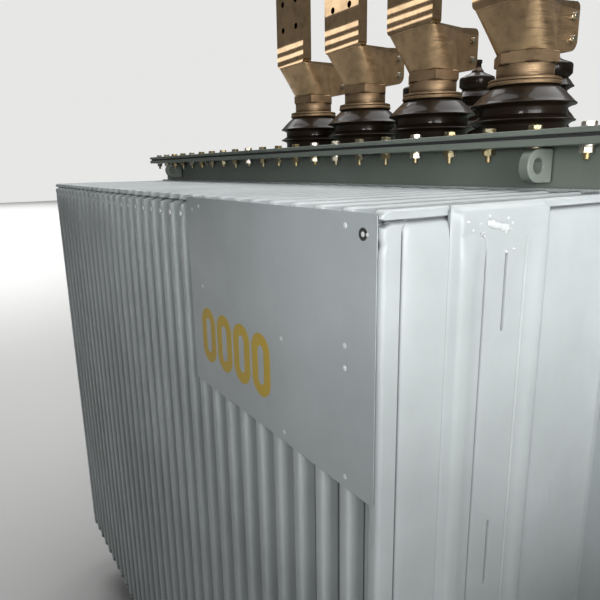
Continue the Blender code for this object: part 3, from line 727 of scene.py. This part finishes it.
def build_panel(finish):
    """Sheet panel with eased corners, small rivets and one larger screw, both pale with a painted highlight,
    and generic oblong figures.
    """
    low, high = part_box("number_panel")
    face = low.y + RIVET_RISE

    def upright(x, z, y=face):
        return Matrix.Translation((x, y, z)) @ SIDEWAYS

    def risen(profile):
        return [(radius, RIVET_RISE * share) for radius, share in profile]

    width, height = high.x - low.x, high.z - low.z
    outline = rounded((0, 0), (width, height), PANEL_ROUND, 5)
    plate = Shape().add(*slab(outline, 0, PANEL_SHEET, 0.0003), upright(low.x, low.z, face + PANEL_SHEET))
    item = plate.piece("number_panel_sheet", finish, "panel_paint")
    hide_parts("number_panel")
    rivets = Shape()
    for from_right, below in RIVET_PLACES:
        rivets.add(*turned(risen(RIVET), 16), upright(high.x - from_right, high.z - below))
    # the rivets' pale colour is a painted highlight
    rivets.piece("panel_rivets", finish, "zinc", look="painted_highlight")
    screw, washer = Shape(), Shape()
    spot = upright(high.x - SCREW_FROM_CORNER, high.z - SCREW_FROM_CORNER)
    washer.add(*turned(risen(SCREW_WASHER), 24), spot)
    washer.piece("panel_screw_washer", finish, "gasket_rubber")
    for offset, size in ((0, 0.0028), (0.0062, 0.0018)):
        dome = risen([(size, 0), (size * 0.95, 0.6), (size * 0.7, 0.9), (0.0002, 1)])
        screw.add(*turned(dome, 24), Matrix.Translation((offset, 0, 0)) @ spot)
    # the screw head's pale colour is a painted highlight
    screw.piece("panel_screw", finish, "zinc", look="painted_highlight")
    figures = Shape()
    top = high.z - DIGITS_BELOW_TOP
    for k in range(DIGITS):
        left = low.x + DIGITS_FROM_LEFT + k * DIGIT_PITCH
        figures.add(*oblong_ring(DIGIT_WIDTH, DIGIT_HEIGHT, DIGIT_STROKE, 0.00015),
                    upright(left + DIGIT_WIDTH / 2, top - DIGIT_HEIGHT / 2))
    figures.piece("panel_figures", finish, "panel_paint", look="stencil")


def oblong_ring(width, height, stroke, thick):
    """Return a flat upright ring, the plain figure on the panel."""
    rings = []
    for inset, z in ((0, 0), (0, thick), (stroke, thick), (stroke, 0)):
        half, tall = width / 2 - inset, height / 2 - inset
        straight = tall - half
        points = []
        for a in angles(48, 0.5):
            lift = straight if sin(a) > 0 else -straight
            points.append((half * cos(a), half * sin(a) + lift, z))
        rings.append(points)
    return skin(rings, caps=False)


# Bushings

LV_SHED_RADIUS = 0.0865
LV_CORE_RADIUS = 0.0725
LV_HEAD_RADIUS = 0.0570
LV_SHOULDER = 0.028
HV_HEAD = 0.030  # height of the plain head above the sheds
HV_HEAD_RISE = 0.012  # height of its conical top
HV_NECK = 0.046  # radius of the head
HV_CAP = 0.016  # radius at the top of the cone
HV_SHEDS = 4
HV_SHED_REACH = 0.015  # shed's rim beyond the core
# Turned rings on the stud, from the porcelain up: radius, rise, edge
RINGS = ((0.0600, 0.0080, 0.0034), (0.0590, 0.0045, 0.0015), (0.0470, 0.0225, 0.0010))
NUT_FLATS = 0.0940
LV_NUT = 0.0188  # height of the nut
NUT_TURN = 0.87
STUD_RADIUS = 0.0210


def shed(rim, core, level, under=0.007, over=0.006):
    """Return one shed's profile: undercut, sharp rounded rim, falling slope above it."""
    return [(core, level - under - 0.002), (core + 0.001, level - under), (rim - 0.005, level - 0.0035),
            (rim - 0.0012, level - 0.0026), (rim - 0.0002, level - 0.0018), (rim, level - 0.0010),
            (rim - 0.0006, level - 0.0002), (rim - 0.0020, level + 0.0006),
            (rim + (core - rim) * 0.6, level + over * 0.7), (core, level + over + 0.002)]


def bell_profile(height):
    """Return the low-voltage porcelain: two sheds, then a glazed cone up to the head."""
    rim, core, head = LV_SHED_RADIUS, LV_CORE_RADIUS, LV_HEAD_RADIUS
    pitch = (height - LV_SHOULDER) / 2
    points = [(core - 0.001, 0.0), (core, 0.001)] + shed(rim, core, pitch) + shed(rim, core, 2 * pitch)[:-2]
    for share in (k / 8 for k in range(1, 9)):
        swell = 0.0012 * sin(pi * share)
        points.append((rim - 0.003 + (head - rim + 0.003) * share + swell,
                       2 * pitch + 0.001 + (LV_SHOULDER - 0.002) * share))
    return points + [(head - 0.0012, height)]


def tapered_profile(base, height):
    """Return the high-voltage porcelain: narrowing sheds and a plain shouldered head."""
    neck = HV_NECK
    points = [(base - 0.014, 0.0), (base - 0.012, 0.001)]
    step = (height - HV_HEAD) / HV_SHEDS
    for k in range(HV_SHEDS):
        rim = base + (neck + 0.006 - base) * k / (HV_SHEDS - 1)
        points += shed(rim, rim - HV_SHED_REACH, step * (k + 0.45), 0.010, 0.016)
    points += [(neck, height - HV_HEAD + 0.006), (neck, height - 0.006), (neck - 0.0015, height - 0.002),
               (neck - 0.005, height), (HV_CAP + 0.008, height + HV_HEAD_RISE * 0.6),
               (HV_CAP, height + HV_HEAD_RISE)]
    return points


def eased_disc(radius, low, high, edge=0.0012):
    return [(radius - edge, low), (radius - edge * 0.3, low + edge * 0.3), (radius, low + edge),
            (radius, high - edge), (radius - edge * 0.3, high - edge * 0.3), (radius - edge, high)]


def axis_of(node):
    """Return a node's upright axis at its foot, half its width and its height."""
    low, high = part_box(node)
    axis = Matrix.Translation(((low.x + high.x) / 2, (low.y + high.y) / 2, low.z))
    return axis, (high.x - low.x) / 2, high.z - low.z


def build_porcelain(name, profile, axis, finish):
    item = Shape().add(*turned(profile, 96), axis).piece(name + "_sheds", finish, "brown_porcelain", 50)
    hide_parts(name + "_porcelain")


def build_lv_bushing(name, finish):
    """Replace one low-voltage porcelain and its rings with finely turned ones."""
    axis, _, height = axis_of(name + "_porcelain")
    build_porcelain(name, bell_profile(height), axis, finish)
    axis, _, height = axis_of(name + "_stud")
    rings = Shape()
    level = 0
    for radius, rise, edge in RINGS:
        rings.add(*turned(eased_disc(radius, level, level + rise, edge), 96), axis)
        level += rise
    rings.add(*hexagon(NUT_FLATS, LV_NUT, level, 0.0030), axis @ Matrix.Rotation(NUT_TURN, 4, "Z"))
    rings.add(*turned(eased_disc(STUD_RADIUS, level + LV_NUT - 0.001, height), 48), axis)
    item = rings.piece(name + "_rings", finish, "bronze", 30, "ring_bronze")
    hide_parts(name + "_stud")


def build_hv_bushing(name, finish):
    """Replace one high-voltage porcelain and its terminal."""
    axis, base, full = axis_of(name + "_porcelain")
    build_porcelain(name, tapered_profile(base, full - HV_HEAD_RISE), axis, finish)
    axis, foot, height = axis_of(name + "_terminal")
    post = [(foot, 0), (foot, 0.002), (foot * 0.8, 0.006), (foot * 0.62, 0.012), (0.0088, height - 0.011),
            (0.0100, height - 0.010), (0.0110, height - 0.009), (0.0110, height - 0.002),
            (0.0100, height - 0.0006), (0.0080, height)]
    item = Shape().add(*turned(post, 48), axis).piece(name + "_post", finish, "bronze", 40, "dark_bronze")
    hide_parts(name + "_terminal")


# Flag clamps

CLAMP_HUB = 0.0475
CLAMP_HUB_HEIGHT = 0.078
CLAMP_FRONT = 0.071
CLAMP_BACK = 0.088
CLAMP_EAR_HALF = 0.036
CLAMP_EAR_TOP_ROUND = 0.010
CLAMP_EAR_FOOT_ROUND = 0.020
CLAMP_EAR_LIFT = 0.004
CLAMP_EAR_START = 0.042  # stud axis to where the body meets the ears
CLAMP_BODY_BACK = 0.045
CLAMP_TOP_RISE = 0.006
CLAMP_SLIT = 0.008
PALM_HALF = 0.0615
PALM_THICKNESS = 0.024
PALM_LOW = 0.070
PALM_HIGH = 0.279
PALM_ROUND = 0.012
PALM_HOLE = 0.007
PALM_HOLE_REACH = 0.030
PALM_HOLE_LOW = 0.159
STUD_WELL = 0.0213  # radius of the bore for the stud
STUD_WELL_DEPTH = 0.0705
CAST_EDGE = 0.0022
CLAMP_BOLT_LEVELS = (0.024, 0.060)
CLAMP_BOLT_FROM_BACK = 0.017


def clamp_outline(share):
    """Return the casting's outline at a share of its height: round below, square in front above."""
    corner = 0.012
    steps = 6
    square = [(0, -CLAMP_FRONT), (PALM_HALF * 0.4, -CLAMP_FRONT), (PALM_HALF - corner, -CLAMP_FRONT)]
    for k in range(1, steps + 1):
        a = pi / 2 * k / steps
        square.append((PALM_HALF - corner + corner * sin(a), -CLAMP_FRONT + corner - corner * cos(a)))
    start = Vector((PALM_HALF, PALM_THICKNESS - CLAMP_FRONT))
    end = Vector((CLAMP_EAR_HALF, CLAMP_EAR_START))
    square += [tuple(start.lerp(end, k / steps)) for k in range(steps + 1)]
    square.append((CLAMP_EAR_HALF * 0.5, CLAMP_BODY_BACK))
    count = len(square)
    right = []
    for k, (x, y) in enumerate(square):
        a = radians(168) * k / (count - 1)
        hub = Vector((CLAMP_HUB * sin(a), -CLAMP_HUB * cos(a)))
        right.append(tuple(hub.lerp(Vector((x, y)), share)))
    left = [(-x, y) for x, y in reversed(right[1:])]
    return right + [(0, CLAMP_HUB)] + left


def clamp_top(y):
    """Return the height of the casting's top, which rises from the palm to the ears."""
    return CLAMP_HUB_HEIGHT + CLAMP_TOP_RISE * (y / CLAMP_BACK)


def solid(name, points, faces):
    return new_object(name, new_mesh(name, points, faces))


def bevelled(item, width, angle):
    edge = item.modifiers.new("edges", "BEVEL")
    edge.width = width
    edge.segments = 3
    edge.limit_method = "ANGLE"
    edge.angle_limit = radians(angle)
    return edge


def clamp_mesh():
    """Cast the flag clamp about its stud axis: body, ears and palm joined, then drilled and slit."""
    levels = [k / 10 for k in range(11)]
    body = solid("clamp_body", *skin([[(x, y, clamp_top(y) * t) for x, y in clamp_outline(t)] for t in levels]))
    top, foot, back = CLAMP_EAR_TOP_ROUND, CLAMP_EAR_FOOT_ROUND, CLAMP_BACK
    ear = [(0, 0), (0.040, 0), (back - foot, CLAMP_EAR_LIFT)]
    ear += [(back - foot + foot * sin(a), CLAMP_EAR_LIFT + foot - foot * cos(a))
            for a in map(radians, range(15, 91, 15))]
    ear += [(back - top + top * cos(a), clamp_top(back) - top + top * sin(a))
            for a in map(radians, range(0, 91, 18))]
    ear.append((0, clamp_top(0)))
    ears = solid("clamp_ears", *skin([[(x, y, z) for y, z in ear] for x in (-CLAMP_EAR_HALF, CLAMP_EAR_HALF)]))
    plate = rounded((-PALM_HALF, PALM_LOW), (PALM_HALF, PALM_HIGH), PALM_ROUND, 6)
    ends = (PALM_THICKNESS - CLAMP_FRONT, -CLAMP_FRONT)
    palm = solid("clamp_palm", *skin([[(x, y, z) for x, z in plate] for y in ends]))
    cutter = Shape()
    cutter.add(*turned([(STUD_WELL, -0.01), (STUD_WELL, STUD_WELL_DEPTH)], 48))
    for x in (-PALM_HOLE_REACH, PALM_HOLE_REACH):
        for z in (PALM_HOLE_LOW, PALM_HOLE_LOW + 2 * PALM_HOLE_REACH):
            cutter.add(*turned([(PALM_HOLE, 0.02), (PALM_HOLE, 0.10)], 32),
                       Matrix.Translation((x, 0, z)) @ SIDEWAYS)
    holes = solid("clamp_holes", cutter.points, cutter.faces)
    half = CLAMP_SLIT / 2
    slit = solid("clamp_slit", *skin([[(-half, 0, z), (half, 0, z), (half, 0.1, z), (-half, 0.1, z)]
                                      for z in (-0.01, 0.1)]))
    for operation, tool in (("UNION", ears), ("UNION", palm), ("DIFFERENCE", holes), ("DIFFERENCE", slit)):
        step = body.modifiers.new(tool.name, "BOOLEAN")
        step.operation = operation
        step.solver = "EXACT"
        step.object = tool
    bevelled(body, CAST_EDGE, 35)
    mesh = bpy.data.meshes.new_from_object(body.evaluated_get(bpy.context.evaluated_depsgraph_get()))
    for item in (body, ears, palm, holes, slit):
        bpy.data.objects.remove(item, do_unlink=True)
    return mesh


def bevelled_copy(node, name, finish, slot, width, sharp=30):
    """Replace a CAD node with a copy of its mesh whose edges are rounded."""
    mesh = bpy.data.objects[node].data.copy()
    mesh.name = name
    shape = bmesh.new()
    shape.from_mesh(mesh)
    bmesh.ops.remove_doubles(shape, verts=shape.verts, dist=0.00002)
    bmesh.ops.dissolve_limit(shape, angle_limit=radians(1), verts=shape.verts, edges=shape.edges)
    shape.to_mesh(mesh)
    shape.free()
    mesh.materials.clear()
    item = mounted(name, mesh, finish[slot], sharp)
    edge = bevelled(item, width, sharp)
    edge.use_clamp_overlap = True
    edge.harden_normals = True
    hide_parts(node)


def build_clamp(name, casting_mesh, finish):
    """Set one flag clamp on its stud, with the two bolts that close its ears."""
    node = name + "_flag_clamp"
    low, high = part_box(node)
    middle = (low.x + high.x) / 2
    place = Matrix.Translation((middle, high.y - CLAMP_BACK, low.z))
    points = [v.co for v in casting_mesh.vertices]
    faces = [list(f.vertices) for f in casting_mesh.polygons]
    item = Shape().add(points, faces, place).piece(name + "_casting", finish, "bronze", 28)
    flat = item.modifiers.new("normals", "WEIGHTED_NORMAL")
    flat.weight = 100
    flat.keep_sharp = True
    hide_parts(node)
    bolts = Shape()
    for level in CLAMP_BOLT_LEVELS:
        for side in (-1, 1):
            turn = Matrix.Rotation(side * pi / 2, 4, "Y")
            spot = Matrix.Translation((middle + side * (CLAMP_EAR_HALF + 0.0002),
                                       high.y - CLAMP_BOLT_FROM_BACK, low.z + level)) @ turn
            bolts.add(*turned([(0.0065, 0), (0.0065, 0.0010), (0.0062, 0.0013)], 24), spot)
            bolts.add(*hexagon(0.010, 0.0045, 0.0013, 0.001), spot)
    bolts.piece(name + "_clamp_bolts", finish, "zinc", 30)


# Cover, collar and their bolts

def bolt_places(length, width):
    """Return bolt axes in rows along the four sides, spread from the middle of each."""
    places = []
    for reach, span, along_x in ((width / 2, length, True), (length / 2, width, False)):
        most = int((span / 2 - (0 if along_x else BOLT_SPACING / 2)) / BOLT_SPACING)
        for k in range(-most, most + 1):
            for side in (-reach, reach):
                places.append((k * BOLT_SPACING, side) if along_x else (side, k * BOLT_SPACING))
    return places


def build_cover_bolts(finish):
    """Bolt the cover down, about a third of the bolts in brighter plating than the rest."""
    low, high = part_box("cover_plate")
    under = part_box("tank_collar")[1].z - COLLAR_FLANGE
    length, width = high.x - low.x - 2 * BOLT_INSET, high.y - low.y - 2 * BOLT_INSET
    chance = random.Random(7)
    bright, dull = Shape(), Shape()
    for x, y in bolt_places(length, width):
        bolts = bright if chance.random() < BRIGHT_SHARE else dull
        spin = Matrix.Rotation(chance.uniform(0, 1), 4, "Z")
        head = Matrix.Translation((x, y, high.z)) @ spin
        bolts.add(*turned([(WASHER_RADIUS, 0), (WASHER_RADIUS, WASHER)], 24), head)
        bolts.add(*hexagon(BOLT_HEAD_FLATS, BOLT_HEAD, WASHER), head)
        nut = Matrix.Translation((x, y, under - WASHER - NUT)) @ spin
        bolts.add(*turned([(WASHER_RADIUS, NUT), (WASHER_RADIUS, NUT + WASHER)], 24), nut)
        bolts.add(*hexagon(BOLT_HEAD_FLATS, NUT), nut)
        tail = chance.uniform(0.7, 1) * (SHANK_BELOW - NUT)
        shank = [(SHANK_RADIUS - 0.001, -tail), (SHANK_RADIUS, -tail + 0.001), (SHANK_RADIUS, 0)]
        dull.add(*turned(shank, 16), nut)
    bright.piece("bright_cover_bolts", finish, "zinc", 30)
    dull.piece("dull_cover_bolts", finish, "zinc", 30, "dull_zinc")


def weld(start, end, radius, seed):
    """Return a rippled weld bead along a straight line."""
    chance = random.Random(seed)
    way = (end - start).normalized()
    side = way.cross(Vector((0.3, 0.2, 1))).normalized()
    up = side.cross(way)
    steps = max(4, int((end - start).length / (radius * 0.60)))
    rings = []
    for k in range(steps + 1):
        centre = start.lerp(end, k / steps)
        swell = radius * (0.86 + 0.16 * sin(k * 2.4) + chance.uniform(-0.08, 0.08))
        if k in (0, steps):
            swell *= 0.5
        rings.append([tuple(centre + (side * cos(a) + up * sin(a)) * swell) for a in angles(8)])
    return skin(rings)


def build_collar(finish):
    """Ease the collar's and cover's edges and lay the weld between collar and tank."""
    bevelled_copy("tank_collar", "collar_ring", finish, "frame_paint", 0.0015)
    bevelled_copy("cover_plate", "cover_sheet", finish, "frame_paint", 0.0012)
    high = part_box("front_fin_wall")[1]
    x, y, top = high.x, FIN_PLATE - high.y, high.z + 0.001
    corners = [Vector(corner) for corner in ((-x, -y, top), (x, -y, top), (x, y, top), (-x, y, top))]
    welds = Shape()
    for k in range(4):
        welds.add(*weld(corners[k], corners[(k + 1) % 4], 0.0035, k))
    welds.piece("collar_weld", finish, "tank_paint", 60)


def build_base(finish):
    for node in ("base_channel_left", "base_channel_right", "tank_base_plate"):
        bevelled_copy(node, node + "_steel", finish, "frame_paint", 0.0025)
    for face in ("front", "back"):
        for side in ("left", "right"):
            node = f"lifting_lug_{face}_{side}"
            bevelled_copy(node, node + "_plate", finish, "frame_paint", 0.0018)


FITTINGS = ("filler_pipe", "tap_changer", "thermometer_pocket", "drain_valve", "earth_boss_left",
            "earth_boss_right")


def build_fittings(frame, finish):
    """Ease the edges of the small fittings on the cover and the base."""
    for entry in frame["record"]["subparts"]:
        node, slot = entry["node"], entry["material_slot"]
        if node in FITTINGS:
            bevelled_copy(node, node + "_eased", finish, slot, 0.0010)


# Stage, light and camera

FLOOR_REACH = 30
# Name, place, aim, size, watts, spread and roll in degrees. The band and strips show as streaks in the palms.
LAMPS = (
    ("key_lamp", (1.8, -0.75, 1.65), (0.8, -0.42, 1.60), (0.8, 0.8), 4.2, 70, 0),
    ("near_lamp", (1.22, -1.23, 1.56), (0.6, -0.75, 1.2), (0.2, 0.2), 2.8, 180, 0),
    ("floor_lamp", (-9, -0.5, 6.5), (-9, -0.5, 0), (9.0, 3.0), 420, 120, 0),
    ("far_floor_lamp", (-21, 1, 7), (-21, 1, 0), (14, 8), 900, 120, 0),
    ("top_lamp", (-0.3, 0.4, 3.4), (-0.2, -0.4, 1.4), (3.2, 2.4), 80, 180, 0),
    ("band_lamp", (-4.82, -5.25, 3.99), (0.5, -0.3, 1.8), (2.6, 0.28), 3.2, 180, 16),
    ("strip_lamp", (-5.4, -4.5, 3.31), (0, -0.3, 1.8), (3.8, 0.06), 1.15, 180, 16),
    ("strip_lamp", (-5.4, -4.5, 3.19), (0, -0.3, 1.8), (3.8, 0.05), 1.0, 180, 16),
    ("strip_lamp", (-5.4, -4.5, 3.08), (0, -0.3, 1.8), (3.8, 0.03), 0.6, 180, 16),
)
# What the world shows to the camera, to reflections and to all else
BACKDROP = ((0.80, 0.80, 0.79, 1), 1.0)
MIRRORED = ((1.0, 0.99, 0.97, 1), 0.16)
AROUND = ((0.97, 0.99, 1.0, 1), 0.05)


def build_stage():
    corners = [(x * FLOOR_REACH, y * FLOOR_REACH, 0) for x, y in ((-1, -1), (1, -1), (1, 1), (-1, 1))]
    floor = solid("studio_floor", corners, [(0, 1, 2, 3)])
    floor.data.materials.append(plain("floor_finish", (0.66, 0.66, 0.65), 0.55))


def lamp(name, place, target, size, power, spread, roll):
    data = bpy.data.lights.new(name, "AREA")
    data.shape = "RECTANGLE"
    data.size, data.size_y = size
    data.energy = power
    data.spread = radians(spread)
    item = new_object(name, data)
    item.location = place
    aim = (Vector(target) - Vector(place)).to_track_quat("-Z", "Y").to_matrix()
    item.rotation_euler = (aim @ Matrix.Rotation(radians(roll), 3, "Z")).to_euler()


def build_light():
    for row in LAMPS:
        lamp(*row)
    world = bpy.data.worlds.new("studio_world")
    bpy.context.scene.world = world
    world.use_nodes = True
    tree = world.node_tree
    path = tree.nodes.new("ShaderNodeLightPath")

    def background(look, node=None):
        node = node or tree.nodes.new("ShaderNodeBackground")
        node.inputs["Color"].default_value, node.inputs["Strength"].default_value = look
        return node.outputs[0]

    def chosen(ray, others, shown):
        node = tree.nodes.new("ShaderNodeMixShader")
        for k, output in enumerate((path.outputs[ray], others, shown)):
            feed(node, k, output)
        return node.outputs[0]

    unseen = chosen("Is Glossy Ray", background(AROUND), background(MIRRORED))
    feed(tree.nodes["World Output"], "Surface",
         chosen("Is Camera Ray", unseen, background(BACKDROP, tree.nodes["Background"])))


def build_camera():
    data = bpy.data.cameras.new("photo_camera")
    data.lens = CAMERA_LENS
    data.sensor_width = 36
    data.clip_start = 0.01
    camera = new_object("photo_camera", data)
    turn = (Matrix.Rotation(radians(CAMERA_HEADING), 4, "Z")
            @ Matrix.Rotation(radians(CAMERA_TILT), 4, "X")
            @ Matrix.Rotation(radians(CAMERA_ROLL), 4, "Z"))
    camera.matrix_world = Matrix.Translation(CAMERA_PLACE) @ turn
    bpy.context.scene.camera = camera


def finish_nodes(frame, finish):
    """Give every CAD node that still shows its material."""
    for entry in frame["record"]["subparts"]:
        item = frame["nodes"][entry["node"]]
        item.data.materials.clear()
        item.data.materials.append(finish[entry["material_slot"]])


def main():
    for item in list(bpy.data.objects):
        bpy.data.objects.remove(item, do_unlink=True)
    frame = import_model()
    build_camera()
    finish = build_materials()
    finish_nodes(frame, finish)
    build_fins(finish)
    build_stiffeners(finish)
    build_panel(finish)
    casting_mesh = clamp_mesh()
    for name in ("lv_neutral", "lv_phase_a", "lv_phase_b", "lv_phase_c"):
        build_lv_bushing(name, finish)
        build_clamp(name, casting_mesh, finish)
    bpy.data.meshes.remove(casting_mesh)
    for name in ("hv_phase_a", "hv_phase_b", "hv_phase_c"):
        build_hv_bushing(name, finish)
    build_cover_bolts(finish)
    build_collar(finish)
    build_base(finish)
    build_fittings(frame, finish)
    build_stage()
    build_light()
    bpy.context.scene.view_settings.view_transform = "Standard"


main()
